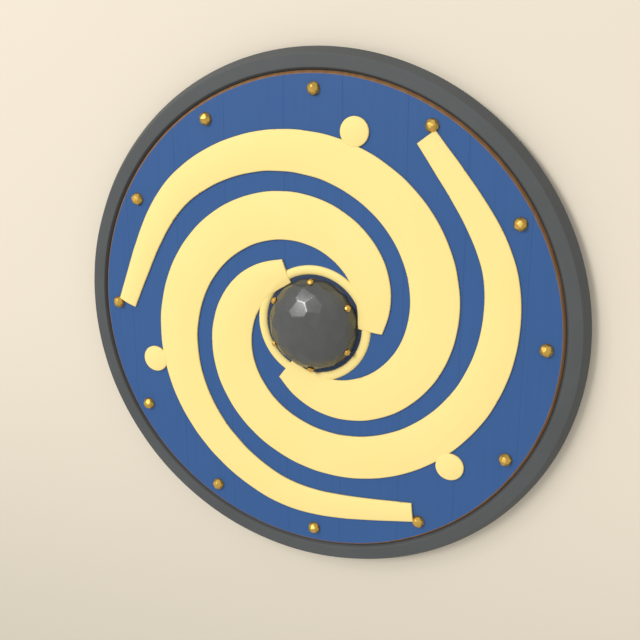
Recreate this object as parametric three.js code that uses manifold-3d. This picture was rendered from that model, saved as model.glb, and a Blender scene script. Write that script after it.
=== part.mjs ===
// A round wooden shield with an iron rim, an iron boss and three raised spiral arms.
//
// It lies on its back: +Z is the front, +Y the top and the origin is the middle of the plane
// that the rim's back rests on. The grip runs along X. All sizes are millimetres.

import * as THREE from 'three';
import { mergeVertices } from 'three/addons/utils/BufferGeometryUtils.js';
import Module from 'manifold-3d';

const wasm = await Module();
wasm.setup();

// ---------------------------------------------------------------- driving dimensions

const GAP = 0.3;                 // clearance between pieces that touch
const TURN_STEPS = 60;           // steps round the large turned pieces
const BOSS_STEPS = 36;           // steps round the boss and its ring
const BOSS_BANDS = 7;            // steps up the dome
const RING_BANDS = 4;
const DISC_STEPS = 24;
const STUD_STEPS = 8;            // steps round rivets, nails and their holes
const STUD_BANDS = 3;
const OVERRUN = 20;              // cutting shapes reach this far past the piece that they cut

// rim: sheet iron folded to a hexagonal tube, with a flange that laps behind the board
const RIM_MIDDLE_R = 405.6;      // radius of the tube's centre
const RIM_TUBE_R = 20.4;         // tube centre to a corner of its hexagon
const RIM_SHEET = 1.0;
const RIM_FLANGE_R = 354;        // inner edge of the flange
const RIM_SEAM = 0.5;            // open seam between the sheet's edge and the flange

// board: planks glued edge to edge, bevelled at the edge and thickest round the hand hole
const BOARD_R = 387.4;           // edge of the painted face
const BOARD_THICKNESS = 12;
const BOARD_SUNK = 0.5;          // the face lies this far below the front of the rim
const BOARD_BEVEL = 5.5;         // depth of the bevel outside the face
const HAND_HOLE_R = 58;
const LIP_HEIGHT = 20;           // lip round the hand hole, inside the foot of the boss

// boss: a beaten half-ellipsoid
const BOSS_R = 75;
const BOSS_HEIGHT = 47;
const BOSS_WALL = 2;
const BOSS_NAIL_R = 71.5;        // radius at which the nails enter the dome
const BOSS_NAIL_ANGLES = [90, 30, -30, -90, -150, 150];
const BOSS_NAIL_LENGTH = 13;
const BOSS_NAIL_ROOM = 1;        // the nail's hole goes this much deeper than its point

// ring round the boss and the three spiral arms, both planted on the face
const RING_INNER_R = 81;
const RING_OUTER_R = 96;
const RING_HEIGHT = 3.6;
const ARM_COUNT = 3;
const ARM_THICKNESS = 4.6;
const ARM_BEVEL_HEIGHT = 2;
const ARM_BEVEL_WIDTH = 8;
const ARM_SPIRAL_STEPS = 28;
const ARM_TAIL_STEPS = 6;
const ARM_START = -1.1;          // polar angle of the inner end, degrees
const ARM_START_TURN = 9;        // the inner end is cut this far from square, degrees
const ARM_END = 299.8;           // polar angle of the outer end
const ARM_TAIL = 255;            // where the spiral gives way to the straighter tail
const ARM_INNER_R = 86.7;        // the spiral's radius is ARM_INNER_R
const ARM_PITCH = 49.5;          //   + ARM_PITCH * hypot(angle, ARM_SOFTNESS), in radians
const ARM_SOFTNESS = 0.168;
const ARM_END_R = 347;
const ARM_END_TURN = 23;         // the tail leads outwards by this angle, degrees
const ARM_TAIL_LEAVING = 0.30;   // pull of the tail's curve at its two ends, as shares of
const ARM_TAIL_ARRIVING = 0.42;  //   its length
const ARM_WIDTH_INNER = 40;
const ARM_WIDTH_FULL = 76.7;
const ARM_WIDTH_OUTER = 33;
const ARM_FULL_AT = 0.42;        // share of the arm's sweep where it is widest
const ARM_OPENING = 2.5;         // powers by which it widens before that
const ARM_CLOSING = 2;           //   and narrows after
const LAP_HEIGHT = 1.7;          // height left on the ring where an arm crosses it

// disc let into the outer edge of each arm
const DISC_R = 22.6;
const DISC_CENTRE_R = 311;
const DISC_ANGLE = 197.8;
const DISC_THICKNESS = 5.4;
const DISC_BEVEL_HEIGHT = 1.2;
const DISC_BEVEL_WIDTH = 2;

// rivets through board and flange
const RIM_RIVET_COUNT = 12;
const RIM_RIVET_CIRCLE_R = 365;
const RIVET_HEAD_R = 10.4;
const RIVET_HEAD_HEIGHT = 10;
const RIVET_SHANK_R = 2.4;
const RIVET_TAIL_R = 4.6;
const RIVET_TAIL_END_R = 3.5;
const RIVET_TAIL_HEIGHT = 2;
const NAIL_HEAD_R = 5.8;
const NAIL_HEAD_HEIGHT = 5.4;
const NAIL_SHANK_R = 1.5;

// grip: a bar across the back, held by the rivets at its ends
const GRIP_HALF_LENGTH = 374;
const GRIP_HAND_HALF = 75;       // half the length of the even part that the hand closes round
const GRIP_HAND_WIDTH = 32;
const GRIP_END_WIDTH = 26;
const GRIP_TIP_LENGTH = 8;
const GRIP_TIP_WIDTH = 16;
const GRIP_DEPTH = 20.5;
const GRIP_END_DEPTH = 10;
const GRIP_STEP_ROOM = 4;        // the thinner ends start this far short of the rim's flange
const GRIP_CROWN = 9;            // the back's edges slope off by this much
const GRIP_BACK_FLAT = 16;

// ---------------------------------------------------------------- heights worked out from them

const RIM_MIDDLE_Z = RIM_TUBE_R * Math.cos(Math.PI / 6);
const RIM_FRONT_Z = 2 * RIM_MIDDLE_Z;
const FACE_Z = RIM_FRONT_Z - BOARD_SUNK;
const BOARD_BACK_Z = FACE_Z - BOARD_THICKNESS;
const PLANTED_Z = FACE_Z + GAP;
const FLANGE_TOP_Z = BOARD_BACK_Z - GAP;
const FLANGE_BACK_Z = FLANGE_TOP_Z - RIM_SHEET;
const GRIP_TOP_Z = BOARD_BACK_Z - GAP;
const GRIP_END_TOP_Z = FLANGE_BACK_Z - GAP;
const GRIP_END_BACK_Z = GRIP_END_TOP_Z - GRIP_END_DEPTH;

// ---------------------------------------------------------------- materials

const finish = (color, roughness, metalness = 0) =>
  new THREE.MeshStandardMaterial({ color, roughness, metalness });

const BLACKENED_IRON = finish(0x5d6263, 0.6, 0.7);
const BOSS_IRON = finish(0x62605f, 0.4, 0.8);
const BRASS = finish(0xcd9940, 0.35, 0.9);
const BLUE_PAINT = finish(0x47689b, 0.6);
const YELLOW_PAINT = finish(0xf7e08f, 0.6);
const ASH_WOOD = finish(0x93683f, 0.7);

// ---------------------------------------------------------------- tools for shapes

const radians = THREE.MathUtils.degToRad;
const polar = (radius, angle) => new THREE.Vector2(radius * Math.cos(angle), radius * Math.sin(angle));
const ellipse = (a, b, angle) => [a * Math.cos(angle), b * Math.sin(angle)];
const slopeOfHexagon = Math.tan(radians(60));
const bands = (count, make) => Array.from({ length: count + 1 }, (_, step) => make(step / count));

// Profile points up a quarter of an ellipse, from its foot to exactly on the axis.
function domeProfile(a, b, steps) {
  return bands(steps, (t) => (t === 1 ? [0, b] : ellipse(a, b, t * Math.PI / 2)));
}

// A piece turned about Z. The profile is [radius, height] points, anticlockwise, and is closed
// back to its first point unless it starts and ends on the axis.
function turned(profile, steps = TURN_STEPS) {
  const points = profile.map(([radius, height]) => new THREE.Vector2(radius, height));
  const onAxis = points[0].x === 0 && points.at(-1).x === 0;
  if (!onAxis) points.push(points[0].clone());
  return new THREE.LatheGeometry(points, steps).rotateX(Math.PI / 2);
}

// A flat outline in X and Y, extruded from one height to another.
function slab(outline, low, high) {
  const geometry = new THREE.ExtrudeGeometry(new THREE.Shape(outline), {
    depth: high - low, bevelEnabled: false, steps: 1,
  });
  return geometry.translate(0, 0, low);
}

function rod(x, y, radius, low, high, steps = STUD_STEPS) {
  return new THREE.CylinderGeometry(radius, radius, high - low, steps)
    .rotateX(Math.PI / 2)
    .translate(x, y, (low + high) / 2);
}

function toSolid(geometry) {
  const bare = geometry.clone();
  bare.deleteAttribute('normal');
  bare.deleteAttribute('uv');
  const merged = mergeVertices(bare, 1e-4);
  const index = merged.getIndex().array;
  const corners = [];
  for (let i = 0; i < index.length; i += 3) {
    const [a, b, c] = index.slice(i, i + 3);
    if (a !== b && b !== c && c !== a) corners.push(a, b, c);
  }
  return new wasm.Manifold(new wasm.Mesh({
    numProp: 3,
    vertProperties: new Float32Array(merged.getAttribute('position').array),
    triVerts: new Uint32Array(corners),
  }));
}

function toGeometry(solid) {
  const mesh = solid.getMesh();
  const geometry = new THREE.BufferGeometry();
  geometry.setAttribute('position', new THREE.BufferAttribute(mesh.vertProperties, 3));
  geometry.setIndex(new THREE.BufferAttribute(mesh.triVerts, 1));
  geometry.computeVertexNormals();
  return geometry;
}

function cut(geometry, cutters) {
  let solid = toSolid(geometry);
  for (const cutter of cutters) solid = solid.subtract(toSolid(cutter));
  return toGeometry(solid);
}

const common = (a, b) => toGeometry(toSolid(a).intersect(toSolid(b)));

// ---------------------------------------------------------------- rivets and nails

const rimRivetAngles = Array.from({ length: RIM_RIVET_COUNT }, (_, i) => radians(i * 360 / RIM_RIVET_COUNT));
const rimRivetPlaces = rimRivetAngles.map((angle) => polar(RIM_RIVET_CIRCLE_R, angle));

// A domed head above height 0 on a shank, with a burred tail ending at tailZ.
function rivet(headRadius, headHeight, tailZ) {
  const tail = [
    [0, tailZ - RIVET_TAIL_HEIGHT],
    [RIVET_TAIL_END_R, tailZ - RIVET_TAIL_HEIGHT],
    [RIVET_TAIL_R, tailZ],
    [RIVET_SHANK_R, tailZ],
    [RIVET_SHANK_R, 0],
  ];
  return turned([...tail, ...domeProfile(headRadius, headHeight, STUD_BANDS)], STUD_STEPS);
}

// A domed head on a shank with a short point.
function nail(length) {
  const point = [[0, -length], [NAIL_SHANK_R, -length + 2 * NAIL_SHANK_R], [NAIL_SHANK_R, 0]];
  return turned([...point, ...domeProfile(NAIL_HEAD_R, NAIL_HEAD_HEIGHT, STUD_BANDS)], STUD_STEPS);
}

const rivetHoles = (low, high) =>
  rimRivetPlaces.map((p) => rod(p.x, p.y, RIVET_SHANK_R + GAP, low, high));

// ---------------------------------------------------------------- boss and its nails

const nailHeight = BOSS_HEIGHT * Math.sqrt(1 - (BOSS_NAIL_R / BOSS_R) ** 2);
const nailTilt = Math.atan2(nailHeight / BOSS_HEIGHT ** 2, BOSS_NAIL_R / BOSS_R ** 2);

// Turns a piece made along Z so that it stands square on the dome at the given angle.
function onDome(object, angle, lift) {
  object.rotation.set(0, Math.PI / 2 - nailTilt, angle, 'ZYX');
  const radius = BOSS_NAIL_R + lift * Math.cos(nailTilt);
  const place = polar(radius, angle);
  object.position.set(place.x, place.y, PLANTED_Z + nailHeight + lift * Math.sin(nailTilt));
  object.updateMatrix();
  return object;
}

function nailHoles() {
  return BOSS_NAIL_ANGLES.map((angle) => {
    const hole = rod(0, 0, NAIL_SHANK_R + GAP, -BOSS_NAIL_LENGTH - BOSS_NAIL_ROOM, 2 * BOSS_WALL);
    const placed = onDome(new THREE.Object3D(), radians(angle), 0);
    return hole.applyMatrix4(placed.matrix);
  });
}

function bossShell() {
  const outer = domeProfile(BOSS_R, BOSS_HEIGHT, BOSS_BANDS);
  const inner = domeProfile(BOSS_R - BOSS_WALL, BOSS_HEIGHT - BOSS_WALL, BOSS_BANDS - 1).reverse();
  const shell = turned([...inner, ...outer], BOSS_STEPS).translate(0, 0, PLANTED_Z);
  return cut(shell, nailHoles());
}

// ---------------------------------------------------------------- board

// Radius at which the board's edge lies against the inner slope of the rim.
function besideRim(height) {
  const slope = RIM_MIDDLE_R - RIM_TUBE_R + (height - RIM_MIDDLE_Z) / slopeOfHexagon;
  return slope - GAP / Math.sin(radians(60));
}

function board() {
  const a = BOSS_R - BOSS_WALL - 2 * GAP;
  const b = BOSS_HEIGHT - BOSS_WALL - 2 * GAP;
  const [lipTopR] = ellipse(a, b, Math.asin(LIP_HEIGHT / b));
  const profile = [
    [HAND_HOLE_R, BOARD_BACK_Z],
    [besideRim(BOARD_BACK_Z), BOARD_BACK_Z],
    [besideRim(FACE_Z - BOARD_BEVEL), FACE_Z - BOARD_BEVEL],
    [BOARD_R, FACE_Z],
    [a, FACE_Z],
    [lipTopR, FACE_Z + LIP_HEIGHT],
    [HAND_HOLE_R, FACE_Z + LIP_HEIGHT],
  ];
  return cut(turned(profile), [...rivetHoles(0, FACE_Z + OVERRUN), ...nailHoles()]);
}

// ---------------------------------------------------------------- rim

// Offsets a bent sheet's outer line by its thickness, to the right of its direction.
function sheetProfile(path, thickness) {
  const inside = path.map((point, i) => {
    const before = path[Math.max(i - 1, 0)];
    const after = path[Math.min(i + 1, path.length - 1)];
    const normals = [[before, point], [point, after]]
      .filter(([from, to]) => from !== to)
      .map(([from, to]) => new THREE.Vector2(to[1] - from[1], from[0] - to[0]).normalize());
    const middle = normals.reduce((sum, n) => sum.add(n), new THREE.Vector2()).normalize();
    const reach = thickness / middle.dot(normals[0].clone().normalize());
    return [point[0] + middle.x * reach, point[1] + middle.y * reach];
  });
  return [...inside, ...path.slice().reverse()];
}

function rim() {
  const corner = (sixth) => {
    const [x, y] = ellipse(RIM_TUBE_R, RIM_TUBE_R, radians(60 * sixth));
    return [RIM_MIDDLE_R + x, RIM_MIDDLE_Z + y];
  };
  const innerCorner = corner(3);
  const slopeR = innerCorner[0] + (FLANGE_TOP_Z - RIM_MIDDLE_Z) / slopeOfHexagon;
  const path = [
    [RIM_FLANGE_R, FLANGE_TOP_Z],
    [slopeR, FLANGE_TOP_Z],
    ...[2, 1, 0, -1, -2].map(corner),
    innerCorner,
    [innerCorner[0], FLANGE_BACK_Z - RIM_SEAM],
  ];
  return cut(turned(sheetProfile(path, RIM_SHEET)), rivetHoles(0, FACE_Z));
}

// ---------------------------------------------------------------- ring, arms and discs

// The middle line of the first arm: a spiral, then a tail that straightens outwards.
function armMiddleLine() {
  const start = radians(ARM_START);
  const tail = radians(ARM_TAIL);
  const end = radians(ARM_END);
  const spiral = (angle) => polar(ARM_INNER_R + ARM_PITCH * Math.hypot(angle, ARM_SOFTNESS), angle);
  const turns = bands(ARM_SPIRAL_STEPS, (t) => spiral(start + t * (tail - start)));
  const from = turns.at(-1);
  const leaving = spiral(tail + 1e-4).sub(spiral(tail - 1e-4)).normalize();
  const to = polar(ARM_END_R, end);
  const arriving = polar(1, end + Math.PI / 2 - radians(ARM_END_TURN));
  const reach = from.distanceTo(to);
  const curve = new THREE.CubicBezierCurve(
    from,
    from.clone().addScaledVector(leaving, ARM_TAIL_LEAVING * reach),
    to.clone().addScaledVector(arriving, -ARM_TAIL_ARRIVING * reach),
    to,
  );
  return [...turns, ...curve.getPoints(ARM_TAIL_STEPS).slice(1)];
}

function armWidth(share) {
  if (share < ARM_FULL_AT) {
    const back = (ARM_FULL_AT - share) / ARM_FULL_AT;
    return ARM_WIDTH_FULL - (ARM_WIDTH_FULL - ARM_WIDTH_INNER) * back ** ARM_OPENING;
  }
  const on = (share - ARM_FULL_AT) / (1 - ARM_FULL_AT);
  return ARM_WIDTH_FULL - (ARM_WIDTH_FULL - ARM_WIDTH_OUTER) * on ** ARM_CLOSING;
}

// The first arm's outline, grown outwards by a margin on every side.
function armOutline(margin = 0) {
  const line = armMiddleLine();
  const left = [];
  const right = [];
  line.forEach((point, i) => {
    const before = line[Math.max(i - 1, 0)];
    const after = line[Math.min(i + 1, line.length - 1)];
    const along = after.clone().sub(before).normalize();
    const across = new THREE.Vector2(-along.y, along.x);
    if (i === 0) across.rotateAround(new THREE.Vector2(), -radians(ARM_START_TURN));
    const sweep = i === 0 ? 0 : point.angle() - radians(ARM_START);
    const half = armWidth(sweep / radians(ARM_END - ARM_START)) / 2 + margin;
    const ends = i === 0 ? -margin : i === line.length - 1 ? margin : 0;
    const middle = point.clone().addScaledVector(along, ends);
    left.push(middle.clone().addScaledVector(across, half));
    right.push(middle.clone().addScaledVector(across, -half));
  });
  return [...right, ...left.reverse()];
}

const turnedBy = (geometry, k) => geometry.rotateZ(k * 2 * Math.PI / ARM_COUNT);
const armSpace = (k, low, high) => turnedBy(slab(armOutline(GAP), low, high), k);
const discPlace = polar(DISC_CENTRE_R, radians(DISC_ANGLE));

// The arm is flat beneath, with its upper edges bevelled off.
function arm() {
  const side = ARM_THICKNESS - ARM_BEVEL_HEIGHT;
  const body = new THREE.ExtrudeGeometry(new THREE.Shape(armOutline()), {
    depth: 2 * side,
    steps: 1,
    bevelThickness: ARM_BEVEL_HEIGHT,
    bevelSize: ARM_BEVEL_WIDTH,
    bevelOffset: -ARM_BEVEL_WIDTH,
    bevelSegments: 1,
  });
  body.translate(0, 0, PLANTED_Z - side);
  const below = new THREE.BoxGeometry(2 * BOARD_R, 2 * BOARD_R, 2 * ARM_THICKNESS)
    .translate(0, 0, PLANTED_Z - ARM_THICKNESS);
  const ringSpace = turned([
    [RING_INNER_R - GAP, FACE_Z],
    [RING_OUTER_R + GAP, FACE_Z],
    [RING_OUTER_R + GAP, PLANTED_Z + LAP_HEIGHT + GAP],
    [RING_INNER_R - GAP, PLANTED_Z + LAP_HEIGHT + GAP],
  ], BOSS_STEPS);
  const top = FACE_Z + OVERRUN;
  const bossSpace = rod(0, 0, BOSS_R + GAP / Math.cos(Math.PI / BOSS_STEPS), FACE_Z, top, BOSS_STEPS);
  const discSpace = rod(discPlace.x, discPlace.y, DISC_R + GAP, FACE_Z, top, DISC_STEPS);
  const headRoom = (RIVET_HEAD_R + GAP) / Math.cos(Math.PI / STUD_STEPS);
  const headSpaces = rimRivetPlaces.map((p) => rod(p.x, p.y, headRoom, FACE_Z, top));
  return cut(body, [below, ringSpace, bossSpace, discSpace, ...headSpaces]);
}

function ring() {
  const middle = (RING_INNER_R + RING_OUTER_R) / 2;
  const half = (RING_OUTER_R - RING_INNER_R) / 2;
  const profile = bands(RING_BANDS, (t) => {
    const [x, height] = ellipse(half, RING_HEIGHT, t * Math.PI);
    return [middle + x, PLANTED_Z + Math.max(height, 0)];
  });
  const laps = [0, 1, 2].map((k) => armSpace(k, PLANTED_Z + LAP_HEIGHT, PLANTED_Z + OVERRUN));
  return cut(turned(profile, BOSS_STEPS), laps);
}

function disc() {
  return turned([
    [0, 0],
    [DISC_R, 0],
    [DISC_R, DISC_THICKNESS - DISC_BEVEL_HEIGHT],
    [DISC_R - DISC_BEVEL_WIDTH, DISC_THICKNESS],
    [0, DISC_THICKNESS],
  ], DISC_STEPS);
}

// ---------------------------------------------------------------- grip

// The bar is even where the hand holds it, and tapers in width and depth to its ends.
function grip() {
  const endTop = RIM_FLANGE_R - GRIP_STEP_ROOM;
  const widths = [
    [GRIP_HAND_HALF, GRIP_HAND_WIDTH],
    [GRIP_HALF_LENGTH - GRIP_TIP_LENGTH, GRIP_END_WIDTH],
    [GRIP_HALF_LENGTH, GRIP_TIP_WIDTH],
  ];
  const along = [...widths.slice().reverse().map(([x, w]) => [-x, w]), ...widths];
  const plan = [
    ...along.map(([x, w]) => new THREE.Vector2(x, -w / 2)),
    ...along.slice().reverse().map(([x, w]) => new THREE.Vector2(x, w / 2)),
  ];
  const backs = [
    [GRIP_HAND_HALF, GRIP_TOP_Z - GRIP_DEPTH],
    [RIM_RIVET_CIRCLE_R - 2 * RIVET_TAIL_R, GRIP_END_BACK_Z],
    [GRIP_HALF_LENGTH, GRIP_END_BACK_Z],
  ];
  const side = [
    ...backs.slice().reverse().map(([x, z]) => [-x, z]),
    ...backs,
    [GRIP_HALF_LENGTH, GRIP_END_TOP_Z],
    [endTop, GRIP_END_TOP_Z],
    [endTop, GRIP_TOP_Z],
    [-endTop, GRIP_TOP_Z],
    [-endTop, GRIP_END_TOP_Z],
    [-GRIP_HALF_LENGTH, GRIP_END_TOP_Z],
  ].map(([x, z]) => new THREE.Vector2(x, z));
  const elevation = slab(side, -GRIP_HAND_WIDTH, GRIP_HAND_WIDTH).rotateX(Math.PI / 2);
  const crown = [
    [-GRIP_HAND_WIDTH / 2, GRIP_CROWN], [-GRIP_BACK_FLAT / 2, 0],
    [GRIP_BACK_FLAT / 2, 0], [GRIP_HAND_WIDTH / 2, GRIP_CROWN],
    [GRIP_HAND_WIDTH / 2, GRIP_DEPTH], [-GRIP_HAND_WIDTH / 2, GRIP_DEPTH],
  ].map(([y, z]) => new THREE.Vector2(y, GRIP_TOP_Z - GRIP_DEPTH + z));
  const section = slab(crown, -GRIP_HALF_LENGTH, GRIP_HALF_LENGTH)
    .rotateX(Math.PI / 2)
    .rotateZ(Math.PI / 2);
  const blank = common(common(slab(plan, 0, FACE_Z), elevation), section);
  return cut(blank, rivetHoles(0, FACE_Z));
}

// ---------------------------------------------------------------- the shield

const shield = new THREE.Group();

function add(name, geometry, material, parent = shield) {
  const mesh = new THREE.Mesh(geometry, material);
  mesh.name = name;
  parent.add(mesh);
  return mesh;
}

add('board', board(), BLUE_PAINT);
add('rim', rim(), BLACKENED_IRON);
add('boss', bossShell(), BOSS_IRON);
add('boss_ring', ring(), YELLOW_PAINT);
add('grip', grip(), ASH_WOOD);

for (let k = 0; k < ARM_COUNT; k += 1) {
  const third = new THREE.Group();
  third.rotation.z = k * 2 * Math.PI / ARM_COUNT;
  shield.add(third);
  add(`spiral_arm_${k + 1}`, arm(), YELLOW_PAINT, third);
  add(`disc_${k + 1}`, disc(), YELLOW_PAINT, third).position.set(discPlace.x, discPlace.y, PLANTED_Z);
}

rimRivetPlaces.forEach((place, i) => {
  const throughGrip = Math.abs(place.y) < 1;
  const tailZ = (throughGrip ? GRIP_END_BACK_Z : FLANGE_BACK_Z) - GAP - PLANTED_Z;
  const geometry = rivet(RIVET_HEAD_R, RIVET_HEAD_HEIGHT, tailZ);
  add(`rim_rivet_${i + 1}`, geometry, BRASS).position.set(place.x, place.y, PLANTED_Z);
});

BOSS_NAIL_ANGLES.forEach((angle, i) => {
  onDome(add(`boss_nail_${i + 1}`, nail(BOSS_NAIL_LENGTH), BRASS), radians(angle), GAP);
});

export default shield;
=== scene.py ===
"""The looks of a round shield with an iron rim, an iron boss and three raised spiral arms.

The shield lies on its back: +Z is its painted front, +Y its top, and its grip runs along X.
"""

import math

import bmesh
import bpy
import numpy as np
from mathutils import Matrix, Vector


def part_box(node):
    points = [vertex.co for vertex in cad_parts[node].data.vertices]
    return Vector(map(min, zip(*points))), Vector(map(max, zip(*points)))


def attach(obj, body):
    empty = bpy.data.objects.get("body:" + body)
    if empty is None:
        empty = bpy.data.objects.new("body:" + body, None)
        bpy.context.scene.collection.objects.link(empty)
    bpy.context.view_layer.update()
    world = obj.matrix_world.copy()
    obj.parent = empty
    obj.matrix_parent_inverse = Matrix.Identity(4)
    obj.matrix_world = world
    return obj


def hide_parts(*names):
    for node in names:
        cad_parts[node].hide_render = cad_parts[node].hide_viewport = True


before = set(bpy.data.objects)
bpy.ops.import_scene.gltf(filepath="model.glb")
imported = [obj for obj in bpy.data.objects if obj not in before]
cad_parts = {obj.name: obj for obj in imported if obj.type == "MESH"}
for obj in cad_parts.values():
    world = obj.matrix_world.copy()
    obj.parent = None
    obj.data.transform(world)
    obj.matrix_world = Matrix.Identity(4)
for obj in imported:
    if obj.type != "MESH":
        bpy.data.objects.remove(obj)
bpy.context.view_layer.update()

MM = 0.001

# ---------------------------------------------------------------- places read from the frame

RIM_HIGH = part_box("rim")[1]
BOARD_LOW, BOARD_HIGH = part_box("board")
BOSS_LOW, BOSS_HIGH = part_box("boss")
RING_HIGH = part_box("boss_ring")[1]
GRIP_LOW, GRIP_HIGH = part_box("grip")
ARM_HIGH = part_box("spiral_arm_1")[1]

GLUE = 0.3 * MM                      # gap that the CAD leaves under each planted piece
FACE_Z = BOSS_LOW.z - GLUE           # the painted face
BACK_Z = BOARD_LOW.z                 # the bare back
ARM_H = ARM_HIGH.z - FACE_Z
RING_H = RING_HIGH.z - FACE_Z

# ---------------------------------------------------------------- sizes that the frame can't tell

RIM_MIDDLE_R = 405.6 * MM            # radius of the tube's centre
RIM_TUBE_R = 20.4 * MM               # tube centre to a corner of its hexagon
RIM_SHEET = 1.0 * MM
RIM_FLANGE_R = 354 * MM              # inner edge of the flange
RIM_FOLD_R = 1.4 * MM                # rounding of the folds
RIM_SEAM = 0.5 * MM                  # open seam between the sheet's edge and the flange
RIM_SLOPE = math.radians(60)         # of the tube's sides

BOARD_R = 387.4 * MM                 # edge of the painted face
BOARD_BEVEL = 5.5 * MM               # depth of the bevel outside it
BOARD_SOFTNESS = 1.4 * MM            # rounding of the board's edges
HAND_HOLE_R = 58 * MM
PLANK_JOINTS = [x * MM for x in (-338, -243, -151, -49, 46, 147, 238, 333)]
JOINT_FRONT = 0.6 * MM               # half the width of a joint's groove
JOINT_BACK = 1.1 * MM

BOSS_WALL = 2 * MM
BOSS_MARKS = 60                      # flats left by the hammer
BOSS_MARK_REACH = math.radians(12.5)
RING_INNER = 81 * MM

RIM_RIVET_CIRCLE_R = 365 * MM
RIM_RIVET_COUNT = 12
RIVET_SHANK_R = 2.4 * MM
# a rivet's closed-over tail, from its end up: radius and height, mm
RIVET_BURR = [(0, 0), (2.6, 0), (3.9, 0.35), (4.6, 1.1), (4.5, 1.7), (3.6, 2.0), (2.4, 2.1)]
BOSS_NAIL_R = 71.5 * MM
BOSS_NAIL_ANGLES = (90, 30, -30, -90, -150, 150)
NAIL_HEAD_R = 5.8 * MM
NAIL_HEAD_H = 5.4 * MM
NAIL_SHANK_R = 1.5 * MM
NAIL_LENGTH = 13 * MM                # under the head
NAIL_TAPER = 3 * MM                  # length of the point
STUD_MARKS = 12                      # flats on a rivet's or a nail's head
STUD_MARK_REACH = math.radians(27)

ARM_COUNT = 3
ARM_START, ARM_TAIL, ARM_END = (math.radians(a) for a in (-1.1, 255, 299.8))
ARM_START_TURN = math.radians(9)     # the inner end is cut this far from square
ARM_INNER_R = 86.7 * MM              # the spiral's radius is ARM_INNER_R
ARM_PITCH = 49.5 * MM                #   + ARM_PITCH * hypot(angle, ARM_SOFTNESS)
ARM_SOFTNESS = 0.168
ARM_END_R = 347 * MM
ARM_END_TURN = math.radians(23)      # the tail leads outwards by this angle
ARM_WIDTH_INNER = 40 * MM
ARM_WIDTH_FULL = 76.7 * MM
ARM_WIDTH_OUTER = 33 * MM
ARM_FULL_AT = 0.42                   # share of the sweep where an arm is widest
ARM_OPENING = 2.5                    # powers by which it widens before that
ARM_CLOSING = 2                      #   and narrows after
ARM_TAIL_LEAVING = 0.30              # pull of the tail's curve at its two ends
ARM_TAIL_ARRIVING = 0.42
ARM_TURNED = 50 * MM                 # the inner end's slant dies away over this length
EDGE_SOFTNESS = 1.6 * MM             # rounding of arms and discs
SKIRT = 0.1 * MM                     # sides of arms and discs end this far under the face

GRIP_HAND_HALF = 75 * MM             # half the even part that the hand holds
GRIP_STEP = 350 * MM                 # beyond this the grip's top is lower, behind the flange
GRIP_THIN = 356 * MM                 # and from here its back is level
GRIP_END_DEPTH = 10 * MM
# distance from the middle and half the width there, mm
GRIP_HALF_WIDTHS = [(0, 15.6), (75, 15.8), (366, 12.8), (374, 8.0)]
GRIP_AROUND = 40                     # points round its section

# ---------------------------------------------------------------- colours, linear

BLUE = (0.030, 0.099, 0.287)
BLUE_DEEP = (0.022, 0.080, 0.245)
BLUE_PALE = (0.036, 0.110, 0.305)
BLUE_SCUFFED = (0.060, 0.135, 0.320)
# painted shade laid on the blue round the boss, inside the ring
BLUE_PAINTED_SHADE = (0.030, 0.046, 0.082)
BLUE_IN_JOINTS = (0.030, 0.066, 0.165)
YELLOW = (0.94, 0.765, 0.295)
YELLOW_DEEP = (0.91, 0.72, 0.255)
YELLOW_PALE = (0.96, 0.81, 0.345)
# painted shade for the edges and sides of the yellow pieces
YELLOW_EDGE_SHADE = (0.92, 0.70, 0.26)
YELLOW_CHIPPED = (0.42, 0.25, 0.11)
BARE_WOOD = (0.36, 0.20, 0.095)
BARE_WOOD_DARK = (0.17, 0.082, 0.036)
WOOD_IN_JOINTS = (0.05, 0.025, 0.012)
EDGE_WOOD = (0.245, 0.128, 0.055)
ASH_WOOD = (0.40, 0.235, 0.115)
ASH_WOOD_DARK = (0.22, 0.115, 0.050)
ASH_WOOD_HELD = (0.12, 0.058, 0.026)
RIM_IRON = (0.087, 0.096, 0.102)
BOSS_IRON = (0.118, 0.124, 0.127)
WORN_IRON = (0.24, 0.245, 0.24)
RUST = (0.12, 0.085, 0.062)
BRASS = (0.66, 0.42, 0.09)
BRASS_DARK = (0.36, 0.20, 0.045)
BRASS_BRIGHT = (0.85, 0.58, 0.18)
FLOOR = (0.77, 0.71, 0.60)
# painted shade: the floor's tone towards the bottom of the frame
FLOOR_PAINTED_SHADE = (0.62, 0.575, 0.49)
SKY = (1.0, 0.97, 0.92, 1)
SUNLIGHT = (1.0, 0.97, 0.93)
WINDOW_LIGHT = (1.0, 0.98, 0.95)


# ---------------------------------------------------------------- meshes

def ripples(points, size, seed, waves=20):
    """Smooth irregular heights of about -1 to 1, with bumps of about the given size."""
    rng = np.random.default_rng(seed)
    points = np.asarray(points, float)
    directions = rng.normal(size=(waves, points.shape[1]))
    directions /= np.linalg.norm(directions, axis=1)[:, None]
    rates = 2 * math.pi / (size * rng.uniform(0.7, 1.6, waves))
    phases = rng.uniform(0, 2 * math.pi, waves)
    total = np.zeros(len(points))
    for direction, rate, phase in zip(directions, rates, phases):
        total += np.sin(points @ direction * rate + phase)
    return total / math.sqrt(waves) / 1.4


def smoothstep(low, high, x):
    t = np.clip((np.asarray(x, float) - low) / (high - low), 0, 1)
    return t * t * (3 - 2 * t)


def make_piece(name, points, faces, material, nodes, attributes=None):
    """Builds a mesh object that stands for CAD nodes and rides on the shield."""
    mesh = bpy.data.meshes.new(name)
    mesh.from_pydata([tuple(p) for p in points], [], faces)
    for label, values in (attributes or {}).items():
        layer = mesh.attributes.new(label, "FLOAT", "POINT")
        layer.data.foreach_set("value", np.asarray(values, np.float32))
    mesh.polygons.foreach_set("use_smooth", [True] * len(mesh.polygons))
    mesh.validate()
    return place_piece(bpy.data.objects.new(name, mesh), material, nodes)


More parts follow.
